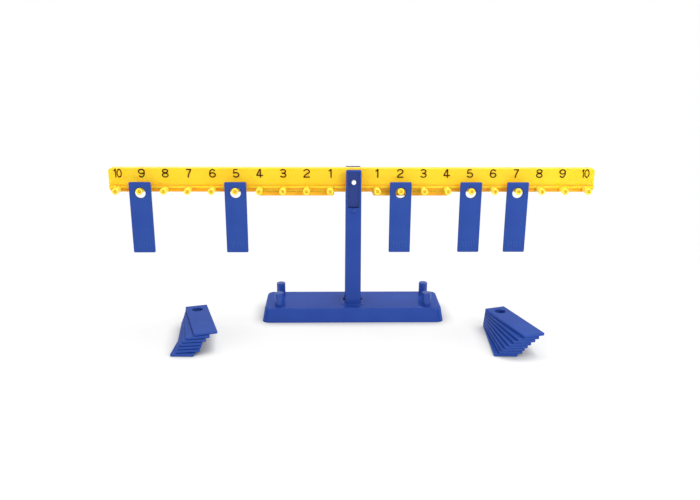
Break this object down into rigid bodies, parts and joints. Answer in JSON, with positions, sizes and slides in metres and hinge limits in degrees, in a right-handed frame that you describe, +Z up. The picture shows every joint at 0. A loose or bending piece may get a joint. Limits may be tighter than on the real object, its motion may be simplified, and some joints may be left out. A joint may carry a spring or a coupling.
{
  "type": "math balance",
  "caption": "Number balance: pegged beam tilting on a forked column and tray base, with sliding zero adjusters, flat hung weights and fanned stacks of spare weights.",
  "frame": {"origin": "on the table under the middle of the base, in the socket's bottom face", "axes": "+Z up, +X along the level beam to the right of someone reading its numbers, -Y towards that reader"},
  "size_m": [0.6604, 0.1929, 0.21],
  "materials": {
    "body_blue": "glossy moulded blue plastic",
    "weight_blue": "satin moulded blue plastic",
    "beam_yellow": "glossy moulded yellow plastic",
    "pin_white": "plain white plastic"
  },
  "bodies": {
    "stand": {"base_tray": "body_blue", "upright_column": "body_blue", "pivot_pin": "pin_white"},
    "beam": {"number_beam": "beam_yellow", "peg_left_1": "beam_yellow", "peg_left_2": "beam_yellow", "peg_left_3": "beam_yellow", "peg_left_4": "beam_yellow", "peg_left_5": "beam_yellow", "peg_left_6": "beam_yellow", "peg_left_7": "beam_yellow", "peg_left_8": "beam_yellow", "peg_left_9": "beam_yellow", "peg_left_10": "beam_yellow", "peg_right_1": "beam_yellow", "peg_right_2": "beam_yellow", "peg_right_3": "beam_yellow", "peg_right_4": "beam_yellow", "peg_right_5": "beam_yellow", "peg_right_6": "beam_yellow", "peg_right_7": "beam_yellow", "peg_right_8": "beam_yellow", "peg_right_9": "beam_yellow", "peg_right_10": "beam_yellow"},
    "slider_left": {"zero_slider_left": "beam_yellow"},
    "slider_right": {"zero_slider_right": "beam_yellow"},
    "weight_on_left_9": {"weight_on_left_9": "weight_blue"},
    "weight_on_left_5": {"weight_on_left_5": "weight_blue"},
    "weight_on_right_2": {"weight_on_right_2": "weight_blue"},
    "weight_on_right_5": {"weight_on_right_5": "weight_blue"},
    "weight_on_right_7": {"weight_on_right_7": "weight_blue"},
    "spare_left_1": {"spare_left_1": "weight_blue"},
    "spare_left_2": {"spare_left_2": "weight_blue"},
    "spare_left_3": {"spare_left_3": "weight_blue"},
    "spare_left_4": {"spare_left_4": "weight_blue"},
    "spare_left_5": {"spare_left_5": "weight_blue"},
    "spare_left_6": {"spare_left_6": "weight_blue"},
    "spare_left_7": {"spare_left_7": "weight_blue"},
    "spare_right_1": {"spare_right_1": "weight_blue"},
    "spare_right_2": {"spare_right_2": "weight_blue"},
    "spare_right_3": {"spare_right_3": "weight_blue"},
    "spare_right_4": {"spare_right_4": "weight_blue"},
    "spare_right_5": {"spare_right_5": "weight_blue"},
    "spare_right_6": {"spare_right_6": "weight_blue"},
    "spare_right_7": {"spare_right_7": "weight_blue"},
    "spare_right_8": {"spare_right_8": "weight_blue"}
  },
  "joints": [
    {"name": "beam_tilt", "type": "hinge", "parent": "stand", "child": "beam", "pos_m": [0, 0, 0.19385], "axis": [0, 1, 0], "range_deg": [-15, 15]},
    {"name": "zero_slide_left", "type": "slide", "parent": "beam", "child": "slider_left", "axis": [-1, 0, 0], "range_m": [-0.0048, 0.012]},
    {"name": "zero_slide_right", "type": "slide", "parent": "beam", "child": "slider_right", "axis": [1, 0, 0], "range_m": [-0.0048, 0.012]},
    {"name": "swing_left_9", "type": "hinge", "parent": "beam", "child": "weight_on_left_9", "pos_m": [-0.28575, -0.01465, 0.18175], "axis": [0, -1, 0], "range_deg": [-20, 20]},
    {"name": "swing_left_5", "type": "hinge", "parent": "beam", "child": "weight_on_left_5", "pos_m": [-0.15875, -0.01465, 0.18175], "axis": [0, -1, 0], "range_deg": [-20, 20]},
    {"name": "swing_right_2", "type": "hinge", "parent": "beam", "child": "weight_on_right_2", "pos_m": [0.0635, -0.01465, 0.18175], "axis": [0, -1, 0], "range_deg": [-20, 20]},
    {"name": "swing_right_5", "type": "hinge", "parent": "beam", "child": "weight_on_right_5", "pos_m": [0.15875, -0.01465, 0.18175], "axis": [0, -1, 0], "range_deg": [-20, 20]},
    {"name": "swing_right_7", "type": "hinge", "parent": "beam", "child": "weight_on_right_7", "pos_m": [0.22225, -0.01465, 0.18175], "axis": [0, -1, 0], "range_deg": [-20, 20]},
    {"name": "lift_left_1", "type": "slide", "parent": "stand", "child": "spare_left_1", "axis": [0, 0, 1], "range_m": [0, 0.03]},
    {"name": "lift_left_2", "type": "slide", "parent": "spare_left_1", "child": "spare_left_2", "axis": [0, 0, 1], "range_m": [0, 0.03]},
    {"name": "lift_left_3", "type": "slide", "parent": "spare_left_2", "child": "spare_left_3", "axis": [0, 0, 1], "range_m": [0, 0.03]},
    {"name": "lift_left_4", "type": "slide", "parent": "spare_left_3", "child": "spare_left_4", "axis": [0, 0, 1], "range_m": [0, 0.03]},
    {"name": "lift_left_5", "type": "slide", "parent": "spare_left_4", "child": "spare_left_5", "axis": [0, 0, 1], "range_m": [0, 0.03]},
    {"name": "lift_left_6", "type": "slide", "parent": "spare_left_5", "child": "spare_left_6", "axis": [0, 0, 1], "range_m": [0, 0.03]},
    {"name": "lift_left_7", "type": "slide", "parent": "spare_left_6", "child": "spare_left_7", "axis": [0, 0, 1], "range_m": [0, 0.03]},
    {"name": "lift_right_1", "type": "slide", "parent": "stand", "child": "spare_right_1", "axis": [0, 0, 1], "range_m": [0, 0.03]},
    {"name": "lift_right_2", "type": "slide", "parent": "spare_right_1", "child": "spare_right_2", "axis": [0, 0, 1], "range_m": [0, 0.03]},
    {"name": "lift_right_3", "type": "slide", "parent": "spare_right_2", "child": "spare_right_3", "axis": [0, 0, 1], "range_m": [0, 0.03]},
    {"name": "lift_right_4", "type": "slide", "parent": "spare_right_3", "child": "spare_right_4", "axis": [0, 0, 1], "range_m": [0, 0.03]},
    {"name": "lift_right_5", "type": "slide", "parent": "spare_right_4", "child": "spare_right_5", "axis": [0, 0, 1], "range_m": [0, 0.03]},
    {"name": "lift_right_6", "type": "slide", "parent": "spare_right_5", "child": "spare_right_6", "axis": [0, 0, 1], "range_m": [0, 0.03]},
    {"name": "lift_right_7", "type": "slide", "parent": "spare_right_6", "child": "spare_right_7", "axis": [0, 0, 1], "range_m": [0, 0.03]},
    {"name": "lift_right_8", "type": "slide", "parent": "spare_right_7", "child": "spare_right_8", "axis": [0, 0, 1], "range_m": [0, 0.03]}
  ]
}
